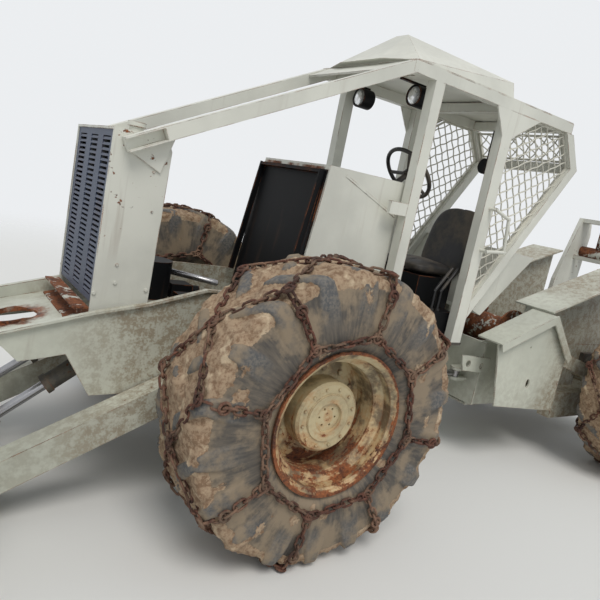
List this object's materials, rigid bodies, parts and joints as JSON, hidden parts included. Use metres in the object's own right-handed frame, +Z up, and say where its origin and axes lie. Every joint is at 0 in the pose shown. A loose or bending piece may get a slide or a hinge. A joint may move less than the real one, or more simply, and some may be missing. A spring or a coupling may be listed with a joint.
{
  "type": "articulated cable skidder",
  "caption": "Small articulated forest tractor with a screened cab, a front blade, tyre chains and a rear winch arch.",
  "frame": {"origin": "on the ground under the middle of the machine", "axes": "+X forwards, +Y to the machine's left, +Z up"},
  "size_m": [6.3598, 2.532, 2.848],
  "materials": {
    "body_paint": "dirty off-white paint, chipped and rust stained",
    "grille_paint": "dark slate paint, worn at the slots",
    "black_paint": "satin black paint, dusty",
    "rusty_steel": "bare rusted steel",
    "frame_steel": "grimy cast steel",
    "chrome_rod": "bright chromed rod",
    "mesh_paint": "cream painted wire",
    "rim_paint": "cream yellow paint with orange rust",
    "tyre_rubber": "worn rubber caked with dried mud",
    "chain_steel": "rusted chain links",
    "seat_vinyl": "cracked black vinyl",
    "wheel_plastic": "hard black rim and knobs"
  },
  "bodies": {
    "front_frame": {"front_hull": "body_paint", "foot_channel": "rusty_steel", "radiator_guard": "body_paint", "radiator_grille": "grille_paint", "guard_cap": "black_paint", "bay_cylinder": "black_paint", "bulkhead": "black_paint", "cowl": "body_paint", "steering_wheel": "wheel_plastic", "cab_floor": "frame_steel", "canopy_rails": "body_paint", "canopy_roof": "body_paint", "cab_posts": "body_paint", "rear_guard": "body_paint", "side_screen_left": "mesh_paint", "side_screen_right": "mesh_paint", "rear_screen": "mesh_paint", "grab_handle": "body_paint", "headlamps": "black_paint", "seat_base": "black_paint", "seat_cushion": "seat_vinyl", "seat_backrest": "seat_vinyl", "control_levers": "wheel_plastic", "rear_tank": "body_paint", "front_axle": "frame_steel", "transmission": "frame_steel", "hinge_pins": "frame_steel", "arm_pins": "frame_steel"},
    "rear_frame": {"rear_hull": "body_paint", "side_boxes": "body_paint", "rear_deck": "body_paint", "winch_frame": "frame_steel", "arch": "body_paint", "fairlead_rollers": "rusty_steel", "rear_axle": "frame_steel"},
    "blade_arms": {"blade": "body_paint", "push_frame": "body_paint"},
    "lift_barrels": {"lift_barrels": "frame_steel"},
    "lift_rods": {"lift_rods": "chrome_rod"},
    "winch_drum": {"winch_drum": "rusty_steel"},
    "steer_barrel_left": {"steer_barrel_left": "frame_steel"},
    "steer_rod_left": {"steer_rod_left": "chrome_rod"},
    "steer_barrel_right": {"steer_barrel_right": "frame_steel"},
    "steer_rod_right": {"steer_rod_right": "chrome_rod"},
    "wheel_front_left": {"tyre_front_left": "tyre_rubber", "rim_front_left": "rim_paint", "chain_front_left": "chain_steel"},
    "wheel_front_right": {"tyre_front_right": "tyre_rubber", "rim_front_right": "rim_paint", "chain_front_right": "chain_steel"},
    "wheel_rear_left": {"tyre_rear_left": "tyre_rubber", "rim_rear_left": "rim_paint", "chain_rear_left": "chain_steel"},
    "wheel_rear_right": {"tyre_rear_right": "tyre_rubber", "rim_rear_right": "rim_paint", "chain_rear_right": "chain_steel"}
  },
  "joints": [
    {"name": "articulation", "type": "hinge", "parent": "front_frame", "child": "rear_frame", "pos_m": [-0.27, 0, 0.675], "axis": [0, 0, 1], "range_deg": [-35, 35]},
    {"name": "blade_lift", "type": "hinge", "parent": "front_frame", "child": "blade_arms", "pos_m": [1.68, 0, 0.69], "axis": [0, -1, 0], "range_deg": [0, 20]},
    {"name": "lift_barrel_swing", "type": "hinge", "parent": "front_frame", "child": "lift_barrels", "pos_m": [1.95, 0, 0.9], "axis": [0, -1, 0], "range_deg": [-0.5, 25]},
    {"name": "lift_rod_slide", "type": "slide", "parent": "lift_barrels", "child": "lift_rods", "axis": [0.8014, 0, -0.5981], "range_m": [-0.112, 0.002]},
    {"name": "winch_turn", "type": "hinge", "parent": "rear_frame", "child": "winch_drum", "pos_m": [-1.23, 0, 0.93], "axis": [0, 1, 0], "continuous": true},
    {"name": "steer_barrel_swing_left", "type": "hinge", "parent": "front_frame", "child": "steer_barrel_left", "pos_m": [0.38, 0.27, 0.64], "axis": [0, 0, 1], "range_deg": [-13, 13]},
    {"name": "steer_rod_slide_left", "type": "slide", "parent": "steer_barrel_left", "child": "steer_rod_left", "axis": [-0.999, 0.0444, 0], "range_m": [-0.19, 0.19]},
    {"name": "steer_barrel_swing_right", "type": "hinge", "parent": "front_frame", "child": "steer_barrel_right", "pos_m": [0.38, -0.27, 0.64], "axis": [0, 0, 1], "range_deg": [-13, 13]},
    {"name": "steer_rod_slide_right", "type": "slide", "parent": "steer_barrel_right", "child": "steer_rod_right", "axis": [-0.999, -0.0444, 0], "range_m": [-0.19, 0.19]},
    {"name": "roll_front_left", "type": "hinge", "parent": "front_frame", "child": "wheel_front_left", "pos_m": [1.33, 1, 0.73636], "axis": [0, 1, 0], "continuous": true},
    {"name": "roll_front_right", "type": "hinge", "parent": "front_frame", "child": "wheel_front_right", "pos_m": [1.33, -1, 0.73636], "axis": [0, 1, 0], "continuous": true},
    {"name": "roll_rear_left", "type": "hinge", "parent": "rear_frame", "child": "wheel_rear_left", "pos_m": [-2.17, 1, 0.73636], "axis": [0, 1, 0], "continuous": true},
    {"name": "roll_rear_right", "type": "hinge", "parent": "rear_frame", "child": "wheel_rear_right", "pos_m": [-2.17, -1, 0.73636], "axis": [0, 1, 0], "continuous": true}
  ],
  "couplings": [
    {"joint": "lift_barrel_swing", "follows": "blade_lift", "ratio": 1.1953},
    {"joint": "lift_rod_slide", "follows": "blade_lift", "m_per_rad": -0.3036},
    {"joint": "steer_barrel_swing_left", "follows": "articulation", "ratio": 0.2833},
    {"joint": "steer_rod_slide_left", "follows": "articulation", "m_per_rad": 0.2941},
    {"joint": "steer_barrel_swing_right", "follows": "articulation", "ratio": 0.2833},
    {"joint": "steer_rod_slide_right", "follows": "articulation", "m_per_rad": -0.2941}
  ]
}
